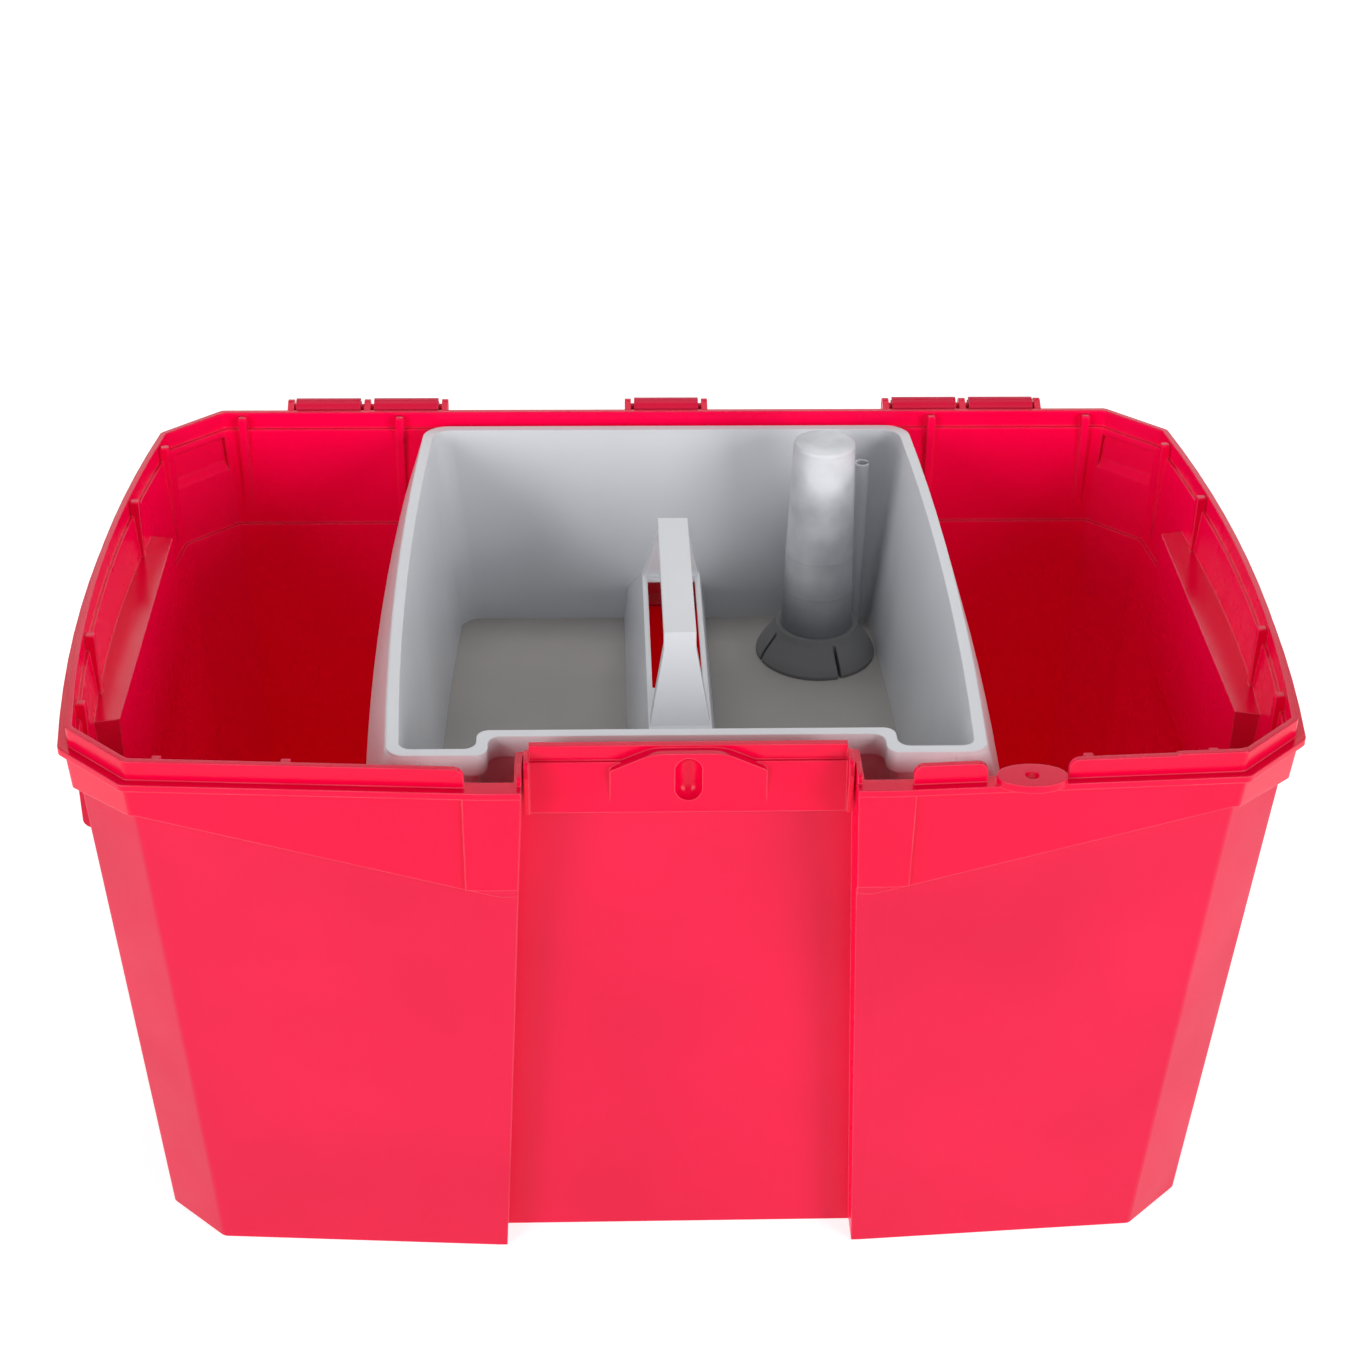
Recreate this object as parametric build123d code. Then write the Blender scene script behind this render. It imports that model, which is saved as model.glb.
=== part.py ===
from build123d import *
import os
from math import atan2, degrees, hypot, radians, tan

# Toolbox with a lift-out tray, a hinged lid and a front latch flap, in millimetres.
# +Z is up, -Y is the front, and the origin is the middle of the flat base.

# Box body: the plan is a rectangle with cut corners, bowed sides and a bowed front.
FLANGE_Z = 305.0
RIM_Z = 315.0
BASE_HALF_X = 271.0
BASE_HALF_Y = 164.0
TOP_HALF_X = 288.0
TOP_HALF_Y = 183.5
CORNER_CUT_X = 30.0
CORNER_CUT_Y = 28.0
FRONT_BOW = 9.5
FRONT_FLAT_HALF = 95.0
SIDE_BOW_BASE = 6.0
SIDE_BOW_TOP = 11.5
FLOOR_THICK = 4.0
WALL_UPPER = 3.0
WALL_LOWER = 5.0
LEDGE_Z = 246.0
FLANGE_THICK = 3.5
FLANGE_OUT = 6.5
TONGUE_IN = -1.0
TONGUE_OUT = 2.0
TONGUE_ROUND = 5.0
TONGUE_STEP_X = 226.0
TONGUE_STEP = 0.8
CORNER_ROUND = 5.0

# Skirt band below the flange: its lower edge rises from the bay to the corners.
BAND_OUT = 4.0
BAND_MID_Z = 241.5
BAND_CORNER_Z = 285.5
BAND_SIDE_Z = 281.0
BAND_MID_X = 88.0
PANEL_HALF = 104.5
PANEL_OUT = 6.0
PANEL_LOW_Z = 247.0

# Front bay.
BAY_TOP_HALF = 77.3
BAY_LOW_HALF = 91.0
BAY_LOW_Z = 0.0
BAY_TOP_Y = -168.0
BAY_LOW_Y = -157.5
BAY_WALL = 3.5
TONGUE_GAP_LEFT = -103.5
TONGUE_GAP_RIGHT = 103.0
TAB_END = 137.5
TONGUE_RESUME = 175.5

# Side hand holds, with a bracket plate at each end.
HOLD_HALF_Y = 97.0
HOLD_FLARE = 6.0
HOLD_LOW_Z = 205.0
HOLD_TOP_Z = 277.0
HOLD_DEPTH = 15.0
GRIP_BAR_Z = 258.0
BRACKET_X = 301.3
BRACKET_Y = 96.8
BRACKET_THICK = 3.0
BRACKET_LOW_Z = 219.0

# Stiffening columns inside the upper wall.
COLUMN_WIDE = 4.6
COLUMN_DEEP = 5.0
COLUMN_TOP_Z = 313.5
COLUMN_ROUND = 0.7
COLUMN_BACK_X = (155.5, 246.5)
COLUMN_FRONT_X = (185.3, 244.6)
COLUMN_SIDE_Y = (-131.5, -68.0, 75.0, 141.0)

# Step inside the cut corners, where the wall moves out into the band.
SHELF_Z = 280.5
SHELF_RISE = 4.5
SHELF_OUT = 3.2
SHELF_TOP_Z = 300.7
SHELF_END = 1.5

# Padlock eye on the body and on the lid.
EYE_X = 158.0
EYE_Y = -192.5
EYE_HALF_X = 16.5
EYE_HALF_Y = 9.5
EYE_TOP_Z = 308.5
EYE_HOLE_R = 3.4
EYE_THICK = 4.0
EYE_GAP = 0.8
SHACKLE_EASE = 1.4

# Hinge along the back rim.
HINGE_Y = 192.5
HINGE_Z = 313.0
ROD_R = 2.5
KNUCKLE_R = 5.8
KNUCKLE_BORE_R = 2.58
KNUCKLE_WIDE = 37.5
KNUCKLE_X = (-197.3, -152.0, 0.0, 152.0, 197.3)
EAR_R = 5.2
EAR_WIDE = 3.6
EAR_X = (-219.0, -174.6, -129.4, -22.4, 22.4, 129.4, 174.6, 219.0)
ROD_SPANS = {"left": (-220.8, -127.6), "centre": (-24.2, 24.2), "right": (127.6, 220.8)}

# Lid, measured where it lies when it is shut.
LID_OPEN = 230.0
LID_GAP = 0.8
LID_WALL = 3.2
LID_LOW_Z = FLANGE_Z + 0.6
LID_BEVEL_Z = 328.0
LID_TOP_Z = 346.0
LID_BEVEL_IN = 18.0
LID_REAR_LOW_Z = RIM_Z + 0.7
LID_REAR_ZONE = 46.0
LID_REAR_RISE = 4.0
LID_REAR_ANGLE = 41.5
PANEL_INSET = 52.0
PANEL_DEEP = 2.5
LID_RIB = 2.6
LID_RIB_DEEP = 7.0

# Latch flap, measured where it lies when it is shut and engaged.
FLAP_OPEN = 42.0
FLAP_Y = -191.0
FLAP_Z = 321.5
FLAP_HALF = 73.0
FLAP_ARM_HALF = 85.2
FLAP_LOW_Z = 262.0
FLAP_TOP_Z = 327.5
FLAP_FRONT_Y = -200.0
FLAP_THICK = 4.0
FLAP_BORE_R = 2.58
WINDOW_HALF = 86.0
WINDOW_TOP_Z = 331.5
CHEEK_WIDE = 4.5

# Catch bar across the top of the bay.
BAR_HALF = 74.2
BAR_TONGUE_Y = -175.0
BAR_STEP_Z = 307.0
BAR_STEP_Y = -177.0
BAR_FOOT_Y = -182.5
BAR_FOOT_Z = 282.5
BAR_SKIN = 3.0
LENS_HALF_X = 36.6
LENS_FLAT_HALF_X = 17.0
LENS_SHOULDER_Z = 304.5
LENS_TOP_Z = 313.6
LENS_FACE_Y = -181.2
KEYHOLE_BACKING = 9.5
KEYHOLE_R = 6.3
KEYHOLE_TOP_Z = 311.0
PLATE_TOP_Z = 312.0
FIN_TOP_Z = 309.5
FIN_HALF_X = 78.4
LIP_Z = 276.5
LIP_REACH_Y = -179.0
LIP_HALF = 60.0
REST_BACK_Y = 176.6
REST_FRONT_Y = -183.0

# Tray: rim outline, floor and strap handle.
TRAY_HALF_X = 140.5
TRAY_SIDE_BOW = 5.4
TRAY_BACK_Y = 178.0
TRAY_FRONT_Y = -171.5
TRAY_NOTCH_Y = -155.5
TRAY_NOTCH_HALF = 93.5
TRAY_RIM_Z = 308.0
TRAY_FLOOR_Z = 185.0
TRAY_SKIN = 2.6
TRAY_DRAFT_X = 13.0
TRAY_DRAFT_Y = 6.0
TRAY_RIM_WIDE = 5.5
TRAY_LIP = 12.0
SKIRT_LOW_Z = 270.0
SKIRT_FLARE = 12.0
SKIRT_THICK = 1.8
SKIRT_BACK_Y = 175.0
SKIRT_INNER_X = 126.0
RIB_TOP_Z = 264.0
RIB_TOP_HALF = 16.0
RIB_FLOOR_HALF = 25.0
RIB_SHOULDER_Y = 77.0
RIB_BACK_Z = 203.0
SLOT_HALF = 13.2
SLOT_BACK_Y = 74.0
SLOT_FRONT_Y = -42.0
STRAP_HALF = 8.2
STRAP_THICK = 5.0
STRAP_BACK_Y = 63.0
STRAP_FRONT_Y = -60.0
STRAP_SPREAD_Z = 300.0

# Post, collar and slotted tube that stand in the tray.
POST_X = 88.0
POST_Y = 127.0
POST_TOP_Z = 322.0
POST_TOP_R = 17.4
POST_FOOT_R = 21.6
POST_SKIN = 2.2
COLLAR_TOP_R = 23.8
COLLAR_FOOT_R = 35.0
COLLAR_TOP_Z = 205.0
TUBE_X = 113.5
TUBE_Y = 158.5
TUBE_R = 4.4
TUBE_SKIN = 1.3
TUBE_TOP_Z = 293.5


def outline(level, grow, rounding=CORNER_ROUND):
    """Plan of the box at a height, moved outwards by grow: a face of lines and two side arcs."""
    rise = level / FLANGE_Z
    half_x = BASE_HALF_X + (TOP_HALF_X - BASE_HALF_X) * rise
    half_y = BASE_HALF_Y + (TOP_HALF_Y - BASE_HALF_Y) * rise
    bow = SIDE_BOW_BASE + (SIDE_BOW_TOP - SIDE_BOW_BASE) * rise
    cut = 0.41 * grow
    near_x = half_x - CORNER_CUT_X + cut
    near_y = half_y - CORNER_CUT_Y + cut
    far_x = half_x + grow
    far_y = half_y + grow
    flat = FRONT_FLAT_HALF
    front = far_y + FRONT_BOW
    lines = [
        Line((-near_x, -far_y), (-flat, -front)),
        Line((-flat, -front), (flat, -front)),
        Line((flat, -front), (near_x, -far_y)),
        Line((near_x, -far_y), (far_x, -near_y)),
        ThreePointArc((far_x, -near_y), (far_x + bow, 0), (far_x, near_y)),
        Line((far_x, near_y), (near_x, far_y)),
        Line((near_x, far_y), (-near_x, far_y)),
        Line((-near_x, far_y), (-far_x, near_y)),
        ThreePointArc((-far_x, near_y), (-far_x - bow, 0), (-far_x, -near_y)),
        Line((-far_x, -near_y), (-near_x, -far_y)),
    ]
    face = make_face(lines)
    if rounding > 0:
        face = fillet(face.vertices(), rounding)
    return Pos(0, 0, level) * face


def prism(low, high, grow_low, grow_high, rounding=CORNER_ROUND):
    """Solid between two heights whose sides follow the plan of the box."""
    return loft([outline(low, grow_low, rounding), outline(high, grow_high, rounding)], ruled=True)


def collar_ring(low, high, inner, outer):
    """Ring of constant plan thickness between two heights, round the whole box."""
    top = FLANGE_Z
    outside = extrude(Pos(0, 0, low - top) * outline(top, outer), high - low)
    inside = extrude(Pos(0, 0, low - top - 1) * outline(top, inner), high - low + 2)
    return outside - inside


def block(x0, x1, y0, y1, z0, z1):
    """Box between two corners."""
    return Pos((x0 + x1) / 2, (y0 + y1) / 2, (z0 + z1) / 2) * Box(x1 - x0, y1 - y0, z1 - z0)


def profile_yz(points, x0, x1):
    """Prism along X of an outline given as (y, z) points."""
    wire = Polyline(*[(x0, y, z) for y, z in points], close=True)
    return extrude(make_face(wire), amount=x1 - x0, dir=(1, 0, 0))


def profile_xz(points, y0, y1):
    """Prism along Y of an outline given as (x, z) points."""
    wire = Polyline(*[(x, y0, z) for x, z in points], close=True)
    return extrude(make_face(wire), amount=y1 - y0, dir=(0, 1, 0))


def rod_x(x0, x1, y, z, radius):
    """Round bar along X."""
    return Pos((x0 + x1) / 2, y, z) * Rot(0, 90, 0) * Cylinder(radius, x1 - x0)


def bay_prism(extra):
    """Space of the front bay, grown by the wall thickness for its inner side."""
    run = (BAY_TOP_Y - BAY_LOW_Y) / (FLANGE_Z - BAY_LOW_Z)
    low = BAY_LOW_Z - extra - 1
    top_z = RIM_Z + 10
    spread = (BAY_TOP_HALF - BAY_LOW_HALF) / (FLANGE_Z - BAY_LOW_Z)
    low_half = BAY_LOW_HALF + spread * (low - BAY_LOW_Z) + extra
    top_half = BAY_LOW_HALF + spread * (top_z - BAY_LOW_Z) + extra
    low_back = BAY_LOW_Y + run * (low - BAY_LOW_Z) + extra
    top_back = BAY_LOW_Y + run * (top_z - BAY_LOW_Z) + extra
    front = -TOP_HALF_Y - 60
    wide = profile_xz([(-low_half, low), (low_half, low), (top_half, top_z), (-top_half, top_z)], front, 0)
    deep = profile_yz([(front, low), (low_back, low), (top_back, top_z), (front, top_z)], -200, 200)
    return wide & deep


def hold_prism(side, extra):
    """Space of a side hand hold: a shallow trapezoid scooped into the wall."""
    half = HOLD_HALF_Y + extra
    slope = HOLD_FLARE
    low = HOLD_LOW_Z - extra
    inner = TOP_HALF_X + 8 - HOLD_DEPTH - extra
    outer = TOP_HALF_X + 40
    plan = Polyline((inner, -half + slope), (inner, half - slope), (outer, half + slope),
        (outer, -half - slope), close=True)
    scoop = extrude(Pos(0, 0, low) * make_face(plan), HOLD_TOP_Z + extra - low)
    if side < 0:
        scoop = mirror(scoop, about=Plane.YZ)
    return scoop


def band_trim():
    """Everything below the lower edge of the skirt band."""
    wide = TOP_HALF_X + 60
    corner = TOP_HALF_X - CORNER_CUT_X - 2
    front = profile_xz(
        [(-wide, 0), (wide, 0), (wide, BAND_SIDE_Z), (TOP_HALF_X + 4, BAND_SIDE_Z), (corner, BAND_CORNER_Z),
         (BAND_MID_X, BAND_MID_Z), (-BAND_MID_X, BAND_MID_Z), (-corner, BAND_CORNER_Z),
         (-TOP_HALF_X - 4, BAND_SIDE_Z), (-wide, BAND_SIDE_Z)], -wide, -TOP_HALF_Y + CORNER_CUT_Y + 2)
    rest = block(-wide, wide, -TOP_HALF_Y + CORNER_CUT_Y + 2, wide, 0, BAND_SIDE_Z)
    return front + rest


def skirt_band():
    """Proud band under the flange, with the prouder panels beside the bay."""
    low = BAND_MID_Z - 10
    band = prism(low, FLANGE_Z - 1, BAND_OUT - 0.4, BAND_OUT) - band_trim()
    panels = prism(low, FLANGE_Z - 1, PANEL_OUT - 0.4, PANEL_OUT)
    panels = panels & block(-PANEL_HALF, PANEL_HALF, -TOP_HALF_Y - 40, -TOP_HALF_Y + 20, PANEL_LOW_Z,
        FLANGE_Z)
    return band + panels


def column(x, y, along_x):
    """Narrow upright rib on the inner side of the upper wall, with a round top."""
    wide_x, wide_y = (COLUMN_WIDE, COLUMN_DEEP) if along_x else (COLUMN_DEEP, COLUMN_WIDE)
    height = COLUMN_TOP_Z - LEDGE_Z + 2
    post = Pos(x, y, LEDGE_Z - 2 + height / 2) * Box(wide_x, wide_y, height)
    return fillet(post.edges().group_by(Axis.Z)[-1], COLUMN_ROUND)


def columns():
    """All columns: pairs on the back, the front and the sides, kept inside the wall."""
    posts = []
    inner_back = TOP_HALF_Y - WALL_UPPER - COLUMN_DEEP / 2 + 1.5
    for x in COLUMN_BACK_X:
        posts += [column(x, inner_back, True), column(-x, inner_back, True)]
    for x in COLUMN_FRONT_X:
        bow = FRONT_BOW * (TOP_HALF_X - CORNER_CUT_X - x) / (TOP_HALF_X - CORNER_CUT_X - FRONT_FLAT_HALF)
        y = -TOP_HALF_Y - bow + WALL_UPPER + COLUMN_DEEP / 2 - 1.5
        posts += [column(x, y, True), column(-x, y, True)]
    for y in COLUMN_SIDE_Y:
        bow = SIDE_BOW_TOP * (1 - (y / (TOP_HALF_Y - CORNER_CUT_Y)) ** 2)
        x = TOP_HALF_X + max(bow, 0) - WALL_UPPER - COLUMN_DEEP / 2 + 1.5
        posts += [column(x, y, False), column(-x, y, False)]
    inside = prism(LEDGE_Z - 4, RIM_Z, -WALL_UPPER / 5, -WALL_UPPER / 5)
    inside -= hold_prism(1, 1)
    inside -= hold_prism(-1, 1)
    return [post & inside for post in posts]


def corner_shelves():
    """Spaces cut out of the wall above a sloped step inside each cut corner."""
    rise = SHELF_Z / FLANGE_Z
    far_x = BASE_HALF_X + (TOP_HALF_X - BASE_HALF_X) * rise - WALL_UPPER
    far_y = BASE_HALF_Y + (TOP_HALF_Y - BASE_HALF_Y) * rise - WALL_UPPER
    run_x = CORNER_CUT_X - 0.59 * WALL_UPPER
    run_y = CORNER_CUT_Y - 0.59 * WALL_UPPER
    half = hypot(run_x, run_y) / 2 - SHELF_END
    lean = (TOP_HALF_X - BASE_HALF_X) / FLANGE_Z * 1.5 * (SHELF_TOP_Z - SHELF_Z)
    cutter = profile_xz([(-6, SHELF_Z), (0, SHELF_Z), (SHELF_OUT, SHELF_Z + SHELF_RISE),
                         (SHELF_OUT + lean, SHELF_TOP_Z), (-6, SHELF_TOP_Z)], -half, half)
    middle = Pos(far_x - run_x / 2, far_y - run_y / 2, 0)
    cut = middle * Rot(0, 0, degrees(atan2(run_x, run_y))) * cutter
    cuts = [cut, mirror(cut, about=Plane.XZ)]
    return cuts + [mirror(shape, about=Plane.YZ) for shape in cuts]


def tongue_end(x, toward):
    """Waste outside the round upper corner of a tongue end. The tongue goes on in the direction toward."""
    front = -TOP_HALF_Y - 30
    reach = x + toward * TONGUE_ROUND
    x0, x1 = sorted((x - toward, reach))
    corner = block(x0, x1, front, -TOP_HALF_Y + 10, RIM_Z - TONGUE_ROUND, RIM_Z + 1)
    middle = Pos(reach, front / 2, RIM_Z - TONGUE_ROUND) * Rot(90, 0, 0)
    return corner - middle * Cylinder(TONGUE_ROUND, -front)


def bracket(side_x, side_y):
    """Upright plate on the wall at one end of a hand hold, with a round lower corner."""
    plate = profile_xz([(287.8, BRACKET_LOW_Z), (BRACKET_X, BRACKET_LOW_Z), (BRACKET_X, BAND_SIDE_Z - 4),
                        (BRACKET_X - 3, BAND_SIDE_Z), (293.0, BAND_SIDE_Z + 2)],
                       BRACKET_Y, BRACKET_Y + BRACKET_THICK)
    low = plate.edges().filter_by(Axis.Y).group_by(Axis.Z)[0].sort_by(Axis.X)[-1]
    plate = fillet(low, 5)
    if side_y < 0:
        plate = mirror(plate, about=Plane.XZ)
    if side_x < 0:
        plate = mirror(plate, about=Plane.YZ)
    return plate


def ear(x):
    """Hinge ear: a round lug on a gusset that stands on the flange."""
    half = EAR_WIDE / 2
    y, z = HINGE_Y, HINGE_Z
    gusset = profile_yz([(y - 9, z - 13), (y - 9, z + 1.5), (y - 1.5, z + 5), (y + 5, z + 1.5),
        (y + 4.2, z - 3.5), (y - 2.5, z - 11.5)], x - half, x + half)
    lug = rod_x(x - half, x + half, y, z, EAR_R)
    return gusset + lug - rod_x(x - half - 1, x + half + 1, y, z, ROD_R)


def padlock_eye(z0, z1):
    """Flat oval lug for a padlock, with its root in the wall behind it."""
    plate = extrude(Pos(EYE_X, EYE_Y, z0) * Ellipse(EYE_HALF_X, EYE_HALF_Y), z1 - z0)
    return plate + block(EYE_X - EYE_HALF_X + 3, EYE_X + EYE_HALF_X - 3, EYE_Y, EYE_Y + 6, z0, z1)


def shackle_hole(z0, z1, radius):
    """Upright hole through a padlock lug."""
    return Pos(EYE_X, EYE_Y, (z0 + z1) / 2) * Cylinder(radius, z1 - z0)


def box_body():
    """The deep moulding: walls, ledge, band, flange, tongue, bay, hand holds, columns and ears."""
    outside = prism(0, FLANGE_Z, 0, 0)
    lower = prism(FLOOR_THICK, LEDGE_Z, -WALL_LOWER, -WALL_LOWER)
    upper = prism(LEDGE_Z - 0.01, FLANGE_Z + 1, -WALL_UPPER, -WALL_UPPER)
    body = outside + skirt_band()
    body += collar_ring(FLANGE_Z - FLANGE_THICK, FLANGE_Z, -WALL_UPPER, FLANGE_OUT)
    body -= bay_prism(0)
    cavity = lower + upper
    cavity -= bay_prism(BAY_WALL)
    for side in (-1, 1):
        body -= hold_prism(side, 0)
        cavity -= hold_prism(side, WALL_UPPER)
    body -= cavity
    tongue = collar_ring(FLANGE_Z - 1, RIM_Z, TONGUE_IN, TONGUE_OUT)
    front = -TOP_HALF_Y - 30
    tongue -= block(TONGUE_GAP_LEFT, TONGUE_GAP_RIGHT, front, 0, FLANGE_Z, RIM_Z + 1)
    tongue -= block(TAB_END, TONGUE_RESUME, front, 0, FLANGE_Z, RIM_Z + 1)
    for x, toward in ((TONGUE_GAP_LEFT, -1), (TONGUE_GAP_RIGHT, 1), (TAB_END, -1), (TONGUE_RESUME, 1)):
        tongue -= tongue_end(x, toward)
    step = collar_ring(RIM_Z - 1, RIM_Z + TONGUE_STEP, TONGUE_IN, TONGUE_OUT)
    tongue += step & block(TONGUE_STEP_X, TOP_HALF_X - CORNER_CUT_X + 1, front, -150, RIM_Z - 1, RIM_Z + 2)
    tongue -= bay_prism(0)
    body += tongue
    for cut in corner_shelves():
        body -= cut
    for post in columns():
        body += post
    for side_x in (-1, 1):
        for side_y in (-1, 1):
            body += bracket(side_x, side_y)
        x0, x1 = sorted((side_x * FIN_HALF_X - 1.1, side_x * FIN_HALF_X + 1.1))
        fin = block(x0, x1, -193.5, -180, FLANGE_Z - 2, FIN_TOP_Z)
        body += fillet(fin.edges().filter_by(Axis.X).group_by(Axis.Z)[-1], 2.5)
    for x in EAR_X:
        body += ear(x)
    under = FLANGE_Z - FLANGE_THICK
    body += padlock_eye(EYE_TOP_Z - EYE_THICK, EYE_TOP_Z)
    body -= shackle_hole(under - 1, EYE_TOP_Z - EYE_THICK, EYE_HOLE_R + SHACKLE_EASE)
    body -= shackle_hole(EYE_TOP_Z - EYE_THICK - 0.5, EYE_TOP_Z + 1, EYE_HOLE_R)
    return body


def catch_bar():
    """Sloped bar that the latch flap hooks under, with a raised lens, a hollow in it and end plates."""
    back_y = BAY_TOP_Y
    slope = (BAR_FOOT_Y - BAR_STEP_Y) / (BAR_FOOT_Z - BAR_STEP_Z)
    bar = profile_yz([(BAR_TONGUE_Y, RIM_Z), (BAR_TONGUE_Y + 3.5, RIM_Z),
        (BAR_TONGUE_Y + 3.5, BAR_STEP_Z + 1), (back_y + BAY_WALL, BAR_STEP_Z + 1),
        (back_y + BAY_WALL, FLANGE_Z), (back_y, FLANGE_Z), (back_y, BAR_FOOT_Z),
        (BAR_FOOT_Y, BAR_FOOT_Z), (BAR_STEP_Y, BAR_STEP_Z), (BAR_TONGUE_Y, BAR_STEP_Z)], -BAR_HALF,
        BAR_HALF)
    for x0, x1 in ((-BAR_HALF + BAR_SKIN, -KEYHOLE_BACKING), (KEYHOLE_BACKING, BAR_HALF - BAR_SKIN)):
        bar -= profile_yz([(back_y - BAR_SKIN, BAR_FOOT_Z - 1), (BAR_FOOT_Y + BAR_SKIN, BAR_FOOT_Z - 1),
                           (BAR_STEP_Y + BAR_SKIN, BAR_STEP_Z - BAR_SKIN),
                           (back_y - BAR_SKIN, BAR_STEP_Z - BAR_SKIN)], x0, x1)
    arch = profile_xz([(-LENS_HALF_X, BAR_FOOT_Z), (LENS_HALF_X, BAR_FOOT_Z), (LENS_HALF_X, LENS_SHOULDER_Z),
                       (LENS_FLAT_HALF_X, LENS_TOP_Z), (-LENS_FLAT_HALF_X, LENS_TOP_Z),
                       (-LENS_HALF_X, LENS_SHOULDER_Z)], LENS_FACE_Y - 3, BAR_TONGUE_Y + 1)
    uprights = arch.edges().filter_by(Axis.Y).group_by(Axis.Z)
    arch = fillet(uprights[-1], 26)
    arch = fillet(arch.edges().filter_by(Axis.Y).filter_by_position(Axis.Z, LENS_SHOULDER_Z - 1,
        LENS_SHOULDER_Z + 1), 2)
    flush_y = BAR_STEP_Y + slope * (BAR_FOOT_Z + 5 - BAR_STEP_Z)
    bar += arch & profile_yz([(flush_y, BAR_FOOT_Z + 5), (BAR_STEP_Y + 1.5, BAR_FOOT_Z + 5),
                              (BAR_TONGUE_Y + 1, LENS_TOP_Z + 1), (LENS_FACE_Y + 0.8, LENS_TOP_Z + 1)],
                             -BAR_HALF, BAR_HALF)
    hollow = Pos(0, BAR_STEP_Y - 4, KEYHOLE_TOP_Z - KEYHOLE_R) * Sphere(KEYHOLE_R)
    hollow += Pos(0, BAR_STEP_Y - 4, KEYHOLE_TOP_Z - KEYHOLE_R - 5) * Cylinder(KEYHOLE_R, 10)
    hollow += Pos(0, BAR_STEP_Y - 4, KEYHOLE_TOP_Z - KEYHOLE_R - 10) * Sphere(KEYHOLE_R)
    bar -= hollow
    for side in (-1, 1):
        inner = side * (BAR_HALF + 1.0)
        plate = profile_yz([(back_y - 0.2, BAR_FOOT_Z), (BAR_FOOT_Y - 1, BAR_FOOT_Z),
            (BAR_FOOT_Y - 5, FLANGE_Z), (BAR_FOOT_Y - 2, PLATE_TOP_Z), (BAR_TONGUE_Y + 2, PLATE_TOP_Z),
            (back_y - 0.2, FLANGE_Z)], inner - 1.2, inner + 1.2)
        bar += fillet(plate.edges().filter_by(Axis.X).group_by(Axis.Z)[-1], 3)
    return bar


def side_grip(side):
    """Hand grip across a side hold: a bar with a lip to pull on."""
    outer = TOP_HALF_X + SIDE_BOW_TOP - 1.0
    half = HOLD_HALF_Y - 1.0
    grip = block(outer - 16, outer - 1, -half, half, GRIP_BAR_Z, GRIP_BAR_Z + 5)
    grip += block(outer - 5, outer - 1, -half, half, GRIP_BAR_Z - 12, GRIP_BAR_Z + 5)
    grip &= hold_prism(1, 0)
    if side < 0:
        grip = mirror(grip, about=Plane.YZ)
    return grip


def hinge_rod(name):
    """Plain rod held by the ears."""
    x0, x1 = ROD_SPANS[name]
    return rod_x(x0, x1, HINGE_Y, HINGE_Z, ROD_R)


def opened(shape):
    """Swing a shut lid piece about the hinge to where the open lid leans."""
    return shape.rotate(Axis((0, HINGE_Y, HINGE_Z), (1, 0, 0)), -LID_OPEN)


def lid_hull(inset):
    """Outer form of the lid, or its inner form when inset is the wall thickness."""
    skirt = TONGUE_OUT + LID_GAP + LID_WALL - inset
    low = LID_LOW_Z - 1 if inset > 0 else LID_LOW_Z
    top = LID_TOP_Z - inset
    level = FLANGE_Z
    plan = Pos(0, 0, low - level) * outline(level, skirt)
    shoulder = Pos(0, 0, LID_BEVEL_Z - level) * outline(level, skirt)
    crown = Pos(0, 0, top - level) * outline(level, skirt - LID_BEVEL_IN)
    hull = extrude(plan, LID_BEVEL_Z - low) + loft([shoulder, crown], ruled=True)
    rear_y = HINGE_Y - 3.0 - inset * 1.4
    rear_z = HINGE_Z + LID_REAR_RISE
    run = 80.0
    rise = run * tan(radians(LID_REAR_ANGLE))
    wide = TOP_HALF_X + 60
    hull -= profile_yz([(rear_y + 1, rear_z - 0.9), (rear_y + 40, rear_z), (rear_y + 40, rear_z + rise),
                        (rear_y - run, rear_z + rise)], -wide, wide)
    return hull


def knuckle(x):
    """Hook of the lid round a hinge rod, with a web up to the lid's rear edge."""
    half = KNUCKLE_WIDE / 2
    hook = rod_x(x - half, x + half, HINGE_Y, HINGE_Z, KNUCKLE_R)
    web = profile_yz([(HINGE_Y - 6.2, LID_REAR_LOW_Z), (HINGE_Y - 2, HINGE_Z),
        (HINGE_Y, HINGE_Z + KNUCKLE_R), (HINGE_Y - 3, HINGE_Z + LID_REAR_RISE + 1.5),
        (HINGE_Y - 7, HINGE_Z + LID_REAR_RISE + 3)], x - half, x + half)
    mouth = profile_yz([(HINGE_Y - 2.1, HINGE_Z - 8), (HINGE_Y + 2.1, HINGE_Z - 8), (HINGE_Y + 2.1, HINGE_Z),
                        (HINGE_Y - 2.1, HINGE_Z)], x - half, x + half)
    return hook + web - mouth - rod_x(x - half - 1, x + half + 1, HINGE_Y, HINGE_Z, KNUCKLE_BORE_R)


def lid_ribs():
    """Stiffening ribs under the crown of the lid."""
    top = LID_TOP_Z - LID_WALL + 0.5
    low = top - LID_RIB_DEEP
    ribs = []
    for x in (-200, -120, 120, 200):
        ribs.append(block(x - LID_RIB / 2, x + LID_RIB / 2, -160, 140, low, top))
    for y in (-100, 0, 90):
        ribs.append(block(-262, 262, y - LID_RIB / 2, y + LID_RIB / 2, low, top))
    return ribs


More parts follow.
